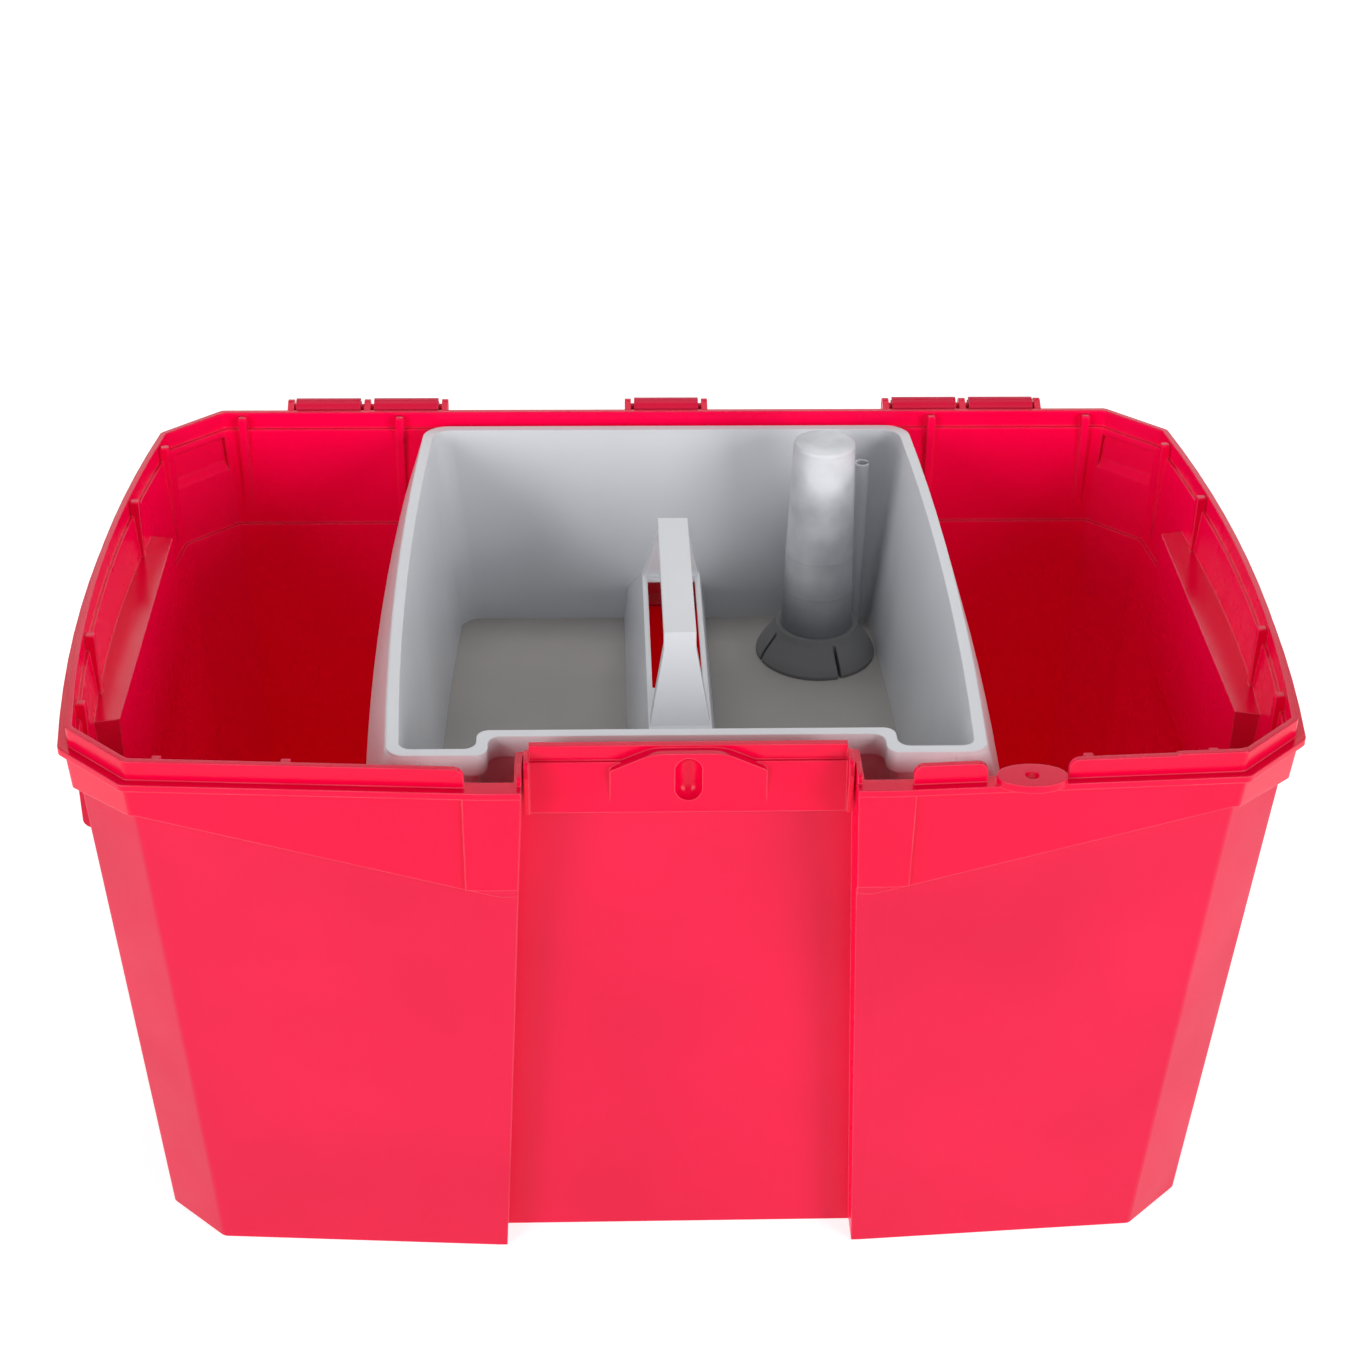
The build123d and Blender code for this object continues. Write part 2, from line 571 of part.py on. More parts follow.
def lid_shut():
    """Lid where it lies when shut: shell, rear cut-away, latch window, cheeks, knuckles and padlock tab."""
    lid = lid_hull(0) - lid_hull(LID_WALL)
    wide = TOP_HALF_X + 60
    lid -= block(-wide, wide, TOP_HALF_Y - LID_REAR_ZONE, wide, FLANGE_Z - 5, LID_REAR_LOW_Z)
    panel_x = 2 * (TOP_HALF_X - PANEL_INSET)
    panel_y = 2 * (TOP_HALF_Y - PANEL_INSET)
    panel = extrude(Pos(0, 0, LID_TOP_Z) * RectangleRounded(panel_x, panel_y, 20), -PANEL_DEEP)
    floor = extrude(Pos(0, 0, LID_TOP_Z - LID_WALL + 0.5) * RectangleRounded(panel_x + 8, panel_y + 8, 24),
                    -PANEL_DEEP - 0.5)
    lid += floor
    lid -= panel
    for y in (-60, -20, 20, 60):
        lid += fillet(block(-190, 190, y - 5, y + 5, LID_TOP_Z - PANEL_DEEP - 0.5, LID_TOP_Z - 0.3)
                      .edges().filter_by(Axis.Z), 4)
    for rib in lid_ribs():
        lid += rib
    front = -TOP_HALF_Y - 30
    lid -= block(-WINDOW_HALF, WINDOW_HALF, front, -TOP_HALF_Y + 2, LID_LOW_Z - 2, WINDOW_TOP_Z)
    for side in (-1, 1):
        x0 = WINDOW_HALF if side > 0 else -WINDOW_HALF - CHEEK_WIDE
        cheek = profile_yz([(FLAP_Y - 7, FLAP_Z - 8), (FLAP_Y - 7, LID_BEVEL_Z),
            (FLAP_Y + 8, LID_TOP_Z - LID_WALL + 0.5), (FLAP_Y + 24, LID_TOP_Z - LID_WALL + 0.5),
            (FLAP_Y + 9, FLAP_Z - 8)], x0, x0 + CHEEK_WIDE)
        lid += cheek - rod_x(x0 - 1, x0 + CHEEK_WIDE + 1, FLAP_Y, FLAP_Z, ROD_R)
    for x in EAR_X:
        lid -= block(x - EAR_WIDE / 2 - 1, x + EAR_WIDE / 2 + 1, HINGE_Y - 11.5, HINGE_Y + 10, HINGE_Z - 12,
                     HINGE_Z + 9)
    for x in KNUCKLE_X:
        lid -= rod_x(x - KNUCKLE_WIDE / 2, x + KNUCKLE_WIDE / 2, HINGE_Y, HINGE_Z, KNUCKLE_BORE_R)
        lid += knuckle(x)
    low = EYE_TOP_Z + EYE_GAP
    top = low + EYE_THICK
    clear = EYE_HALF_X + 1.5
    lid -= block(EYE_X - clear, EYE_X + clear, front, EYE_Y + 8, LID_LOW_Z - 2, low)
    lid += padlock_eye(low, top)
    lid += block(EYE_X - 12, EYE_X + 12, EYE_Y + 4, EYE_Y + 6, low, LID_BEVEL_Z + 7)
    lid -= block(EYE_X - 8, EYE_X + 8, front, EYE_Y + 4, top, top + 13)
    lid -= shackle_hole(low - 1, top + 1, EYE_HOLE_R)
    return lid


def flap_shut():
    """Latch flap where it lies when shut: curved plate, side arms round the pins, and a lip under the bar."""
    back_y = FLAP_FRONT_Y + FLAP_THICK
    plate = profile_yz([(FLAP_FRONT_Y + 2, FLAP_LOW_Z), (FLAP_FRONT_Y, FLAP_LOW_Z + 12),
        (FLAP_FRONT_Y, FLAP_TOP_Z - 4), (FLAP_FRONT_Y + 1.5, FLAP_TOP_Z), (back_y + 1, FLAP_TOP_Z),
        (back_y, FLAP_TOP_Z - 4), (back_y, FLAP_LOW_Z + 12), (back_y + 2, FLAP_LOW_Z)], -FLAP_HALF,
        FLAP_HALF)
    arms = profile_yz([(FLAP_FRONT_Y, FLAP_Z - 6), (FLAP_FRONT_Y, FLAP_TOP_Z - 4),
        (FLAP_FRONT_Y + 1.5, FLAP_TOP_Z), (back_y + 1, FLAP_TOP_Z), (back_y, FLAP_TOP_Z - 4),
        (back_y, FLAP_Z - 6)], -FLAP_ARM_HALF, FLAP_ARM_HALF)
    lip = profile_yz([(back_y - 1, LIP_Z), (LIP_REACH_Y, LIP_Z + 0.5), (LIP_REACH_Y, LIP_Z + 4),
        (back_y - 1, LIP_Z + 4)], -LIP_HALF, LIP_HALF)
    flap = plate + arms + lip
    for x0, x1 in ((-FLAP_ARM_HALF, -FLAP_ARM_HALF + 12), (FLAP_ARM_HALF - 12, FLAP_ARM_HALF)):
        boss = rod_x(x0, x1, FLAP_Y, FLAP_Z, 5.0)
        boss += block(x0, x1, back_y - 1, FLAP_Y, FLAP_Z - 5, FLAP_Z + 5)
        flap += boss
        flap -= rod_x(x0 - 1, x1 + 1, FLAP_Y, FLAP_Z, FLAP_BORE_R)
    for x in (-48, -24, 0, 24, 48):
        flap += block(x - 1.2, x + 1.2, back_y - 1, back_y + 3, LIP_Z, FLAP_Z - 4)
    return flap


def flap_open(shape):
    """Swing a shut flap piece outwards about its pins."""
    return shape.rotate(Axis((0, FLAP_Y, FLAP_Z), (1, 0, 0)), -FLAP_OPEN)


def latch_pin(side):
    """Headed pin through a cheek of the lid into the flap."""
    pin = rod_x(FLAP_ARM_HALF - 10, WINDOW_HALF + CHEEK_WIDE + 0.5, FLAP_Y, FLAP_Z, ROD_R)
    pin += rod_x(WINDOW_HALF + CHEEK_WIDE, WINDOW_HALF + CHEEK_WIDE + 1.6, FLAP_Y, FLAP_Z, 4.0)
    if side < 0:
        pin = mirror(pin, about=Plane.YZ)
    return pin


def tray_plan(z, grow):
    """Plan of the tray at a height, moved outwards by grow: bowed sides and a notch round the bay."""
    drop = (TRAY_RIM_Z - z) / (TRAY_RIM_Z - TRAY_FLOOR_Z)
    half_x = TRAY_HALF_X - TRAY_DRAFT_X * drop + grow
    back = TRAY_BACK_Y - TRAY_DRAFT_Y * drop + grow
    front = TRAY_FRONT_Y + TRAY_DRAFT_Y * drop - grow
    notch_y = TRAY_NOTCH_Y + TRAY_DRAFT_Y * drop - grow
    notch_half = TRAY_NOTCH_HALF + 3 * drop - grow
    middle = (back + front) / 2
    lines = [
        Line((-half_x, front), (-notch_half, front)),
        Line((-notch_half, front), (-notch_half, notch_y)),
        Line((-notch_half, notch_y), (notch_half, notch_y)),
        Line((notch_half, notch_y), (notch_half, front)),
        Line((notch_half, front), (half_x, front)),
        ThreePointArc((half_x, front), (half_x + TRAY_SIDE_BOW, middle), (half_x, back)),
        Line((half_x, back), (-half_x, back)),
        ThreePointArc((-half_x, back), (-half_x - TRAY_SIDE_BOW, middle), (-half_x, front)),
    ]
    face = make_face(lines)
    corners = face.vertices()
    back_pair = corners.sort_by(Axis.Y)[-2:]
    face = fillet(back_pair, 14 + grow / 2)
    notch_four = [v for v in face.vertices() if abs(abs(v.X) - notch_half) < 0.5 and v.Y < 0]
    face = fillet(notch_four, 6)
    front_pair = [v for v in face.vertices() if abs(abs(v.X) - half_x) < 0.5 and v.Y < 0]
    face = fillet(front_pair, 9 + grow / 2)
    return Pos(0, 0, z) * face


def tray_solid(z0, z1, grow):
    """Solid between two heights whose sides follow the plan of the tray."""
    return loft([tray_plan(z0, grow), tray_plan(z1, grow)], ruled=True)


def skirt_plan(z, grow):
    """Plan of the flared side skirts of the tray at a height, moved outwards by grow."""
    drop = (TRAY_RIM_Z - z) / (TRAY_RIM_Z - SKIRT_LOW_Z)
    half_x = TRAY_HALF_X + SKIRT_FLARE * drop + grow
    back = SKIRT_BACK_Y + grow
    front = TRAY_FRONT_Y - grow
    lines = [
        Line((-half_x, front), (half_x, front)),
        ThreePointArc((half_x, front), (half_x + TRAY_SIDE_BOW, (back + front) / 2), (half_x, back)),
        Line((half_x, back), (-half_x, back)),
        ThreePointArc((-half_x, back), (-half_x - TRAY_SIDE_BOW, (back + front) / 2), (-half_x, front)),
    ]
    face = make_face(lines)
    return Pos(0, 0, z) * fillet(face.vertices(), 10 + grow / 2)


def side_skirts():
    """Thin skirts that flare down and out from the rim along the two sides of the tray."""
    low = SKIRT_LOW_Z
    skirt = loft([skirt_plan(low, 0), skirt_plan(TRAY_RIM_Z - 2, 0)], ruled=True)
    skirt -= loft([skirt_plan(low - 1, -SKIRT_THICK), skirt_plan(TRAY_RIM_Z - 1, -SKIRT_THICK)], ruled=True)
    outer = TRAY_HALF_X + SKIRT_FLARE + 20
    sides = []
    for x0, x1 in ((-outer, -SKIRT_INNER_X), (SKIRT_INNER_X, outer)):
        sides.append(skirt & block(x0, x1, TRAY_FRONT_Y - 10, SKIRT_BACK_Y + 5, low - 2, TRAY_RIM_Z))
    return sides


def tray_rib(shrink):
    """Tent-shaped hollow rib between the two compartments, made smaller by shrink for its inner side."""
    low = TRAY_FLOOR_Z - TRAY_SKIN - (1 if shrink else 0)
    back = TRAY_BACK_Y - TRAY_DRAFT_Y - shrink
    front = TRAY_NOTCH_Y + TRAY_DRAFT_Y - 3 + shrink
    side = profile_yz([(back, low), (back, RIB_BACK_Z - shrink), (RIB_SHOULDER_Y + 4, RIB_TOP_Z - shrink),
                       (front, RIB_TOP_Z - shrink), (front, low)], -RIB_FLOOR_HALF, RIB_FLOOR_HALF)
    top = RIB_TOP_HALF - shrink
    foot = RIB_FLOOR_HALF - shrink
    across = profile_xz([(-foot, low), (foot, low), (top, RIB_TOP_Z), (-top, RIB_TOP_Z)],
                        TRAY_FRONT_Y, TRAY_BACK_Y)
    return side & across


def tray_strap():
    """Strap that rises out of the rib: a level grip with a splayed leg at each end."""
    top = TRAY_RIM_Z
    under = top - STRAP_THICK
    foot = RIB_TOP_Z - 3
    arch = profile_yz([(STRAP_BACK_Y + 24, foot), (STRAP_BACK_Y, top), (STRAP_FRONT_Y, top),
        (STRAP_FRONT_Y - 20, foot), (STRAP_FRONT_Y - 13, foot), (STRAP_FRONT_Y + 5, under),
        (STRAP_BACK_Y - 5, under), (STRAP_BACK_Y + 16, foot)], -RIB_TOP_HALF, RIB_TOP_HALF)
    front = profile_xz([(-RIB_TOP_HALF, foot), (RIB_TOP_HALF, foot), (STRAP_HALF, STRAP_SPREAD_Z),
        (STRAP_HALF, top), (-STRAP_HALF, top), (-STRAP_HALF, STRAP_SPREAD_Z)], TRAY_FRONT_Y,
        TRAY_BACK_Y)
    strap = arch & front
    return strap


def tray():
    """Tray: drafted walls, rolled rim with a flared lip, hollow rib, finger slots, strap and rest feet."""
    shell = tray_solid(TRAY_FLOOR_Z - TRAY_SKIN, TRAY_RIM_Z, -TRAY_RIM_WIDE + TRAY_SKIN)
    shell += tray_solid(TRAY_RIM_Z - 4, TRAY_RIM_Z, 0)
    lip = tray_solid(TRAY_RIM_Z - TRAY_LIP, TRAY_RIM_Z, 0) - tray_solid(TRAY_RIM_Z - TRAY_LIP - 1,
        TRAY_RIM_Z + 1, -2.0)
    shell += lip
    for skirt in side_skirts():
        shell += skirt
    cavity = tray_solid(TRAY_FLOOR_Z, TRAY_RIM_Z + 1, -TRAY_RIM_WIDE)
    body = shell - (cavity - tray_rib(0))
    body -= tray_rib(TRAY_SKIN)
    body -= block(-SLOT_HALF, SLOT_HALF, SLOT_FRONT_Y, SLOT_BACK_Y, RIB_TOP_Z - 6, RIB_TOP_Z + 2)
    body += tray_strap()
    for x in (-60, 60):
        body += profile_yz([(TRAY_BACK_Y - 7, LEDGE_Z + 0.3), (REST_BACK_Y, LEDGE_Z + 0.3),
            (REST_BACK_Y, LEDGE_Z + 8), (TRAY_BACK_Y - 6, LEDGE_Z + 20)], x - 1.5, x + 1.5)
    for x in (-116, 116):
        body += profile_yz([(TRAY_FRONT_Y + 7.5, LEDGE_Z + 0.3), (REST_FRONT_Y, LEDGE_Z + 0.3),
            (REST_FRONT_Y, LEDGE_Z + 8), (TRAY_FRONT_Y + 5, LEDGE_Z + 24)], x - 1.5, x + 1.5)
    return body


def tray_post():
    """Tapered closed post, hollow from below."""
    height = POST_TOP_Z - TRAY_FLOOR_Z
    outer = Pos(POST_X, POST_Y, TRAY_FLOOR_Z + height / 2) * Cone(POST_FOOT_R, POST_TOP_R, height)
    outer = fillet(outer.edges().group_by(Axis.Z)[-1], 1.2)
    inner = Pos(POST_X, POST_Y, TRAY_FLOOR_Z + (height - POST_SKIN) / 2) * Cone(
        POST_FOOT_R - POST_SKIN, POST_TOP_R - POST_SKIN, height - POST_SKIN)
    return outer - inner


def post_collar():
    """Flared collar round the foot of the post, with four slits."""
    low = TRAY_FLOOR_Z
    taper = (POST_FOOT_R - POST_TOP_R) / (POST_TOP_Z - TRAY_FLOOR_Z)
    grip_r = POST_FOOT_R - taper * (COLLAR_TOP_Z - low)
    skin = Polyline((COLLAR_FOOT_R, 0), (COLLAR_FOOT_R, 2), (COLLAR_FOOT_R - 2.6, 7),
        (COLLAR_TOP_R + 2.4, 15.5), (COLLAR_TOP_R, COLLAR_TOP_Z - low), (grip_r, COLLAR_TOP_Z - low),
        (grip_r + 0.28, 13.5), (COLLAR_FOOT_R - 6.5, 4.5), (COLLAR_FOOT_R - 3.4, 0), close=True)
    ring = revolve(Plane.XZ * make_face(skin), Axis.Z, 360)
    for turn in (20, 110, 200, 290):
        ring -= Rot(0, 0, turn) * block(COLLAR_TOP_R + 1.6, COLLAR_FOOT_R + 2, -1.1, 1.1, -1, 17)
    return Pos(POST_X, POST_Y, low) * ring


def slotted_tube():
    """Thin C-shaped tube that stands beside the post."""
    height = TUBE_TOP_Z - TRAY_FLOOR_Z
    tube = Cylinder(TUBE_R, height) - Cylinder(TUBE_R - TUBE_SKIN, height + 2)
    tube -= block(0, TUBE_R + 1, -1.3, 1.3, -height, height)
    return Pos(TUBE_X, TUBE_Y, TRAY_FLOOR_Z + height / 2) * tube


def main():
    os.makedirs("parts", exist_ok=True)
    nodes = {
        "box_body": box_body(),
        "catch_bar": catch_bar(),
        "side_grip_left": side_grip(-1),
        "side_grip_right": side_grip(1),
        "lid_shell": opened(lid_shut()),
        "latch_flap": opened(flap_open(flap_shut())),
        "latch_pin_left": opened(latch_pin(-1)),
        "latch_pin_right": opened(latch_pin(1)),
        "tray": tray(),
        "tray_post": tray_post(),
        "post_collar": post_collar(),
        "slotted_tube": slotted_tube(),
    }
    for name in ROD_SPANS:
        nodes["hinge_rod_" + name] = hinge_rod(name)
    for name, shape in nodes.items():
        export_step(shape, "parts/" + name + ".step")


main()
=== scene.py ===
import math

import bmesh
import bpy
from mathutils import Matrix, Vector


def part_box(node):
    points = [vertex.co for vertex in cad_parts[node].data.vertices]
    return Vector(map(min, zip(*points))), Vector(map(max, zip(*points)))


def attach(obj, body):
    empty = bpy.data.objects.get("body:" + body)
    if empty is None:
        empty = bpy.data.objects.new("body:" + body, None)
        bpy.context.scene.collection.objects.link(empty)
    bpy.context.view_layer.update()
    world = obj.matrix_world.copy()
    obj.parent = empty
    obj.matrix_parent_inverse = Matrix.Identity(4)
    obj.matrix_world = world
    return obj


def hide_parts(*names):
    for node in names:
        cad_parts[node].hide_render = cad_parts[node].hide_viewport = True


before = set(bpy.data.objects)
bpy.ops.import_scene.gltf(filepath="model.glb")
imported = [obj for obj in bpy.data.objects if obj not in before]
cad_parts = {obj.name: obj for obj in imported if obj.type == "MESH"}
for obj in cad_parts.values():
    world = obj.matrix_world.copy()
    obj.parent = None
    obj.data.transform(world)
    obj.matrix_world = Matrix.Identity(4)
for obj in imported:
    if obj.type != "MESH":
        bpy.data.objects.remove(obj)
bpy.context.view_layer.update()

MM = 0.001

# Levels of the box that its finishes follow: the proud band's lower edge is lowest beside the front bay
# and climbs to the corners.
RIM_TOP = 315.0 * MM
BAND_MID = 241.5 * MM
BAND_SIDE = 281.0 * MM
BAND_CORNER = 285.5 * MM
BAND_MID_X = 88.0 * MM
CORNER_X = 256.0 * MM
CORNER_REACH = 20.0 * MM
PANEL_LOW = 247.0 * MM
BAND_STEP = 0.5 * MM
BASE_SKIN = 1.0 * MM

# Levels of the tray.
TRAY_FLOOR_BELOW = 200.0 * MM
TRAY_RIM_ABOVE = 304.0 * MM

# How a face has to be turned to count as inside the box, and as a floor: cosines of its tilt.
INWARD = -0.3
DOWNWARD = -0.5
UPWARD = 0.5
LEVEL = 0.9

# Cleaning of the copied meshes, and which of their edges are rounded.
JOIN_WITHIN = 0.002 * MM
FLAT_WITHIN = math.radians(0.6)
SHARP_FROM = math.radians(25)
CAP_SHARP_FROM = math.radians(50)
BEVEL_SEGMENTS = 2

# Slots of the material list on the box.
GLOSS, GRAINED, INNER = 0, 1, 2


# ---------------------------------------------------------------- materials

def linear(hex_colour):
    """Linear RGBA of an sRGB hex colour."""
    parts = [int(hex_colour[i:i + 2], 16) / 255 for i in (1, 3, 5)]
    return [c / 12.92 if c <= 0.04045 else ((c + 0.055) / 1.055) ** 2.4 for c in parts] + [1.0]


def add(tree, kind, links=None, **settings):
    """Adds a node, sets its properties, and fills its inputs with values or with other nodes' outputs."""
    made = tree.nodes.new(kind)
    for name, value in settings.items():
        setattr(made, name, value)
    for socket, source in (links or {}).items():
        if isinstance(source, bpy.types.NodeSocket):
            tree.links.new(source, made.inputs[socket])
        else:
            made.inputs[socket].default_value = source
    return made


# Width of the flow marks that the melt leaves, in mm.
FLOW_MM = 28
# Cosine of the turn from the flat normal to the rounded one, where an edge starts to show and is full.
EDGE_STARTS, EDGE_FULL = 0.97, 0.88
# The deepest sink mark over a rib, in mm.
SINK_MM = 0.2


def moulded(name, colours, roughness, grain, round_edge, drift_mm=130, scuff_and_highlight=0.5, painted_emission=0.0, shine=0.3,
             foot_shade=None):
    """A moulded plastic: colour drift, paler edges that are partly scuffing and partly a painted highlight,
    uneven gloss, mould grain and faint sink marks.

    colours: main, deep, and the paler edge tint (scuffing and painted highlight). grain: its width and height
    in mm.
    round_edge: radius in mm.
    foot_shade: painted shade that darkens the piece towards its foot: its colour, the height up to which it
    is darkest, and the height at which it is gone.
    """
    main, deep, scuffed_highlit_tint = colours
    grain_mm, grain_height = grain
    material = bpy.data.materials.new(name)
    material.use_nodes = True
    tree = material.node_tree
    tree.nodes.clear()
    place = add(tree, "ShaderNodeTexCoord").outputs["Object"]
    drift = add(tree, "ShaderNodeTexNoise", {"Vector": place, "Scale": 1 / (drift_mm * MM), "Detail": 3.0,
                                            "Roughness": 0.45})
    flow = add(tree, "ShaderNodeTexNoise", {"Vector": place, "Scale": 1 / (FLOW_MM * MM), "Detail": 3.0,
                                           "Roughness": 0.5})
    fine = add(tree, "ShaderNodeTexNoise", {"Vector": place, "Scale": 1 / (grain_mm * MM), "Detail": 2.0,
                                           "Roughness": 0.5})
    tone = add(tree, "ShaderNodeValToRGB", {"Fac": drift.outputs["Fac"]})
    tone.color_ramp.elements[0].position = 0.32
    tone.color_ramp.elements[0].color = linear(deep)
    tone.color_ramp.elements[1].position = 0.68
    tone.color_ramp.elements[1].color = linear(main)
    colour = tone.outputs["Color"]
    if foot_shade:
        # Painted shade: the colour darkens towards the foot, and the darkening thins out upwards.
        shade_tone, darkest_to, gone_at = foot_shade
        height = add(tree, "ShaderNodeSeparateXYZ", {"Vector": place})
        shade_amount = add(tree, "ShaderNodeMapRange", {"Value": height.outputs["Z"], "From Min": darkest_to,
                                                "From Max": gone_at, "To Min": 0.85, "To Max": 0.0})
        colour = add(tree, "ShaderNodeMix", {0: shade_amount.outputs["Result"], 6: colour, 7: linear(shade_tone)},
                     data_type="RGBA").outputs[2]

    # Edges are drawn paler, more in some places than in others: partly scuffing from handling, partly a
    # painted highlight. An edge is where the rounded normal leaves the flat one.
    rounded = add(tree, "ShaderNodeBevel", {"Radius": round_edge * MM}, samples=6)
    flat = add(tree, "ShaderNodeNewGeometry").outputs["Normal"]
    turned = add(tree, "ShaderNodeVectorMath", {0: rounded.outputs["Normal"], 1: flat},
                 operation="DOT_PRODUCT")
    raised = add(tree, "ShaderNodeMapRange", {"Value": turned.outputs["Value"], "From Min": EDGE_STARTS,
                                             "From Max": EDGE_FULL, "To Min": 0.0, "To Max": scuff_and_highlight})
    patchy = add(tree, "ShaderNodeMath", {0: raised.outputs["Result"], 1: flow.outputs["Fac"]},
                 operation="MULTIPLY")
    mixed = add(tree, "ShaderNodeMix", {0: patchy.outputs["Value"], 6: colour, 7: linear(scuffed_highlit_tint)},
                data_type="RGBA")

    gloss = add(tree, "ShaderNodeMapRange", {"Value": flow.outputs["Fac"], "From Min": 0.3, "From Max": 0.7,
                                            "To Min": roughness - 0.03, "To Max": roughness + 0.04})
    sinks = add(tree, "ShaderNodeBump", {"Strength": 0.3, "Distance": SINK_MM * MM,
                                        "Height": drift.outputs["Fac"], "Normal": rounded.outputs["Normal"]})
    skin = add(tree, "ShaderNodeBump", {"Strength": 0.5, "Distance": grain_height * MM,
                                       "Height": fine.outputs["Fac"], "Normal": sinks.outputs["Normal"]})
    # Emission, where a material sets it, is painted light: the surface glows though it is no lamp.
    shader = add(tree, "ShaderNodeBsdfPrincipled", {
        "Base Color": mixed.outputs[2], "Roughness": gloss.outputs["Result"], "IOR": 1.49,
        "Specular IOR Level": shine, "Emission Color": linear("#FF0012"), "Emission Strength": painted_emission,
        "Normal": skin.outputs["Normal"]})
    add(tree, "ShaderNodeOutputMaterial", {"Surface": shader.outputs["BSDF"]})
    return material


# Polypropylene moulded in a polished steel tool: a deep, even red with a soft gloss and hardly any grain.
gloss_red = moulded("gloss_red_polypropylene", ("#E0003A", "#DA0035", "#FF6C80"), 0.2, (1.5, 0.015), 1.0,
                    scuff_and_highlight=0.9, shine=0.2)
# The walls below the band and the lid are moulded against a spark-eroded tool: the same red under a fine
# matt grain, which scatters light and looks a little paler. The real grain is about 0.1 mm; it is drawn at
# 0.9 mm so that it shows.
grained_red = moulded("grained_red_polypropylene", ("#D40E3E", "#C80A38", "#FF7C8E"), 0.42, (0.9, 0.07),
                      0.8, scuff_and_highlight=0.7, shine=0.22)
# The same plastic inside the box, drawn a brighter red than outside and with a faint deep red emission in
# place of
# daylight through the 3 mm walls: both are painted light. The inner corners are well rounded.
inner_red = moulded("inner_red_polypropylene", ("#FF0050", "#F80048", "#FF5068"), 0.28, (1.5, 0.015), 2.4,
                    scuff_and_highlight=0.25, painted_emission=0.055, shine=0.12)
# Grey polypropylene with talc filler from a satin tool: cool mid grey with a broad soft sheen.
satin_grey = moulded("satin_grey_polypropylene", ("#DCDEE3", "#D6D8DC", "#F6F6F8"), 0.33, (1.2, 0.012), 0.8,
                     scuff_and_highlight=0.4)
# The tray's floor comes from a coarser tool face: duller; it is drawn darker and warmer than the walls as
# painted shade of the deep tray.
shaded_floor_grey = moulded("dusty_grey_polypropylene", ("#B0ABA8", "#A6A2A0", "#C0BDBA"), 0.5, (1.2, 0.04), 0.8,
                     drift_mm=70, shine=0.2)
# The post is handled and knocked by what hangs on it: the same grey with broad darker smudges; painted shade
# darkens it towards its foot.
POST_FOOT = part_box("tray_post")[0][2]
smudged_foot_shaded_grey = moulded("smudged_grey_polypropylene", ("#E8EAEE", "#B2B4BA", "#F4F4F6"), 0.32, (1.2, 0.012),
                       0.8, drift_mm=34, foot_shade=("#6A6C70", POST_FOOT + 25 * MM, POST_FOOT + 85 * MM))
# Thermoplastic elastomer, moulded matt: near-black grey that hardly reflects.
matt_elastomer = moulded("matt_dark_elastomer", ("#868687", "#7A7A7B", "#A8A8A9"), 0.6, (0.8, 0.04), 0.5)


# ---------------------------------------------------------------- pieces made from the CAD nodes

def band_edge(x, y):
    """Height of the proud band's lower edge at a place on the outside."""
    if y > 0 or abs(x) >= CORNER_X + CORNER_REACH:
        return BAND_SIDE
    if abs(x) <= BAND_MID_X:
        return PANEL_LOW
    part = min((abs(x) - BAND_MID_X) / (CORNER_X - BAND_MID_X), 1)
    return BAND_MID + part * (BAND_CORNER - BAND_MID)


def merged(node):
    """Copy of a CAD node's mesh with its loose triangles joined and its flat areas whole again."""
    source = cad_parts[node].data
    form = bmesh.new()
    form.from_mesh(source)
    bmesh.ops.remove_doubles(form, verts=form.verts, dist=JOIN_WITHIN)
    bmesh.ops.dissolve_limit(form, angle_limit=FLAT_WITHIN, verts=form.verts, edges=form.edges)
    return form


def box_finish(face):
    """Which finish a face of the box has: gloss band and rim, grained wall, or inside."""
    centre = face.calc_center_median()
    outward = face.normal.x * centre.x + face.normal.y * centre.y
    if outward < INWARD * centre.xy.length and centre.z < RIM_TOP and face.normal.z > DOWNWARD:
        return INNER
    if centre.z < band_edge(centre.x, centre.y) - BAND_STEP and (outward > 0 or centre.z < BASE_SKIN):
        return GRAINED
    if centre.z < BAND_MID and face.normal.z > UPWARD:
        return INNER
    return GLOSS


def tray_finish(face):
    """Satin everywhere on the tray but on the floors of its compartments, which are duller and drawn darker
    as painted shade.
    """
    return int(face.normal.z > LEVEL and face.calc_center_median().z < TRAY_FLOOR_BELOW)


def tray_rim(edge):
    """The tray's rolled rim is rounder than its other edges."""
    high = min(vert.co.z for vert in edge.verts) > TRAY_RIM_ABOVE
    return 1.0 if high else 0.25


def softened(node, body, materials, width, finish=None, rim=None):
    """Piece that stands for a CAD node, with its sharp edges rounded as a mould leaves them."""
    form = merged(node)
    weights = form.edges.layers.float.new("bevel_weight_edge")
    for edge in form.edges:
        if len(edge.link_faces) == 2 and edge.calc_face_angle(0) > SHARP_FROM:
            edge[weights] = rim(edge) if rim else 1.0
    for face in form.faces:
        face.smooth = True
        if finish:
            face.material_index = finish(face)
    mesh = bpy.data.meshes.new(node + "_moulded")
    form.to_mesh(mesh)
    form.free()
    for material in materials:
        mesh.materials.append(material)
    made = bpy.data.objects.new(node + "_moulded", mesh)
    bpy.context.scene.collection.objects.link(made)
    rounding = made.modifiers.new("rounded_edges", "BEVEL")
    rounding.width = width
    rounding.segments = BEVEL_SEGMENTS
    rounding.limit_method = "WEIGHT"
    rounding.harden_normals = False
    rounding.use_clamp_overlap = True
    shading = made.modifiers.new("even_shading", "WEIGHTED_NORMAL")
    shading.keep_sharp = False
    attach(made, body)
    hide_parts(node)


# Steps along a rod, and how far from a witness ring's middle its flat top and its slope end.
ROD_STEPS = 240
RING_FLAT = 0.3 * MM
RING_END = 0.9 * MM


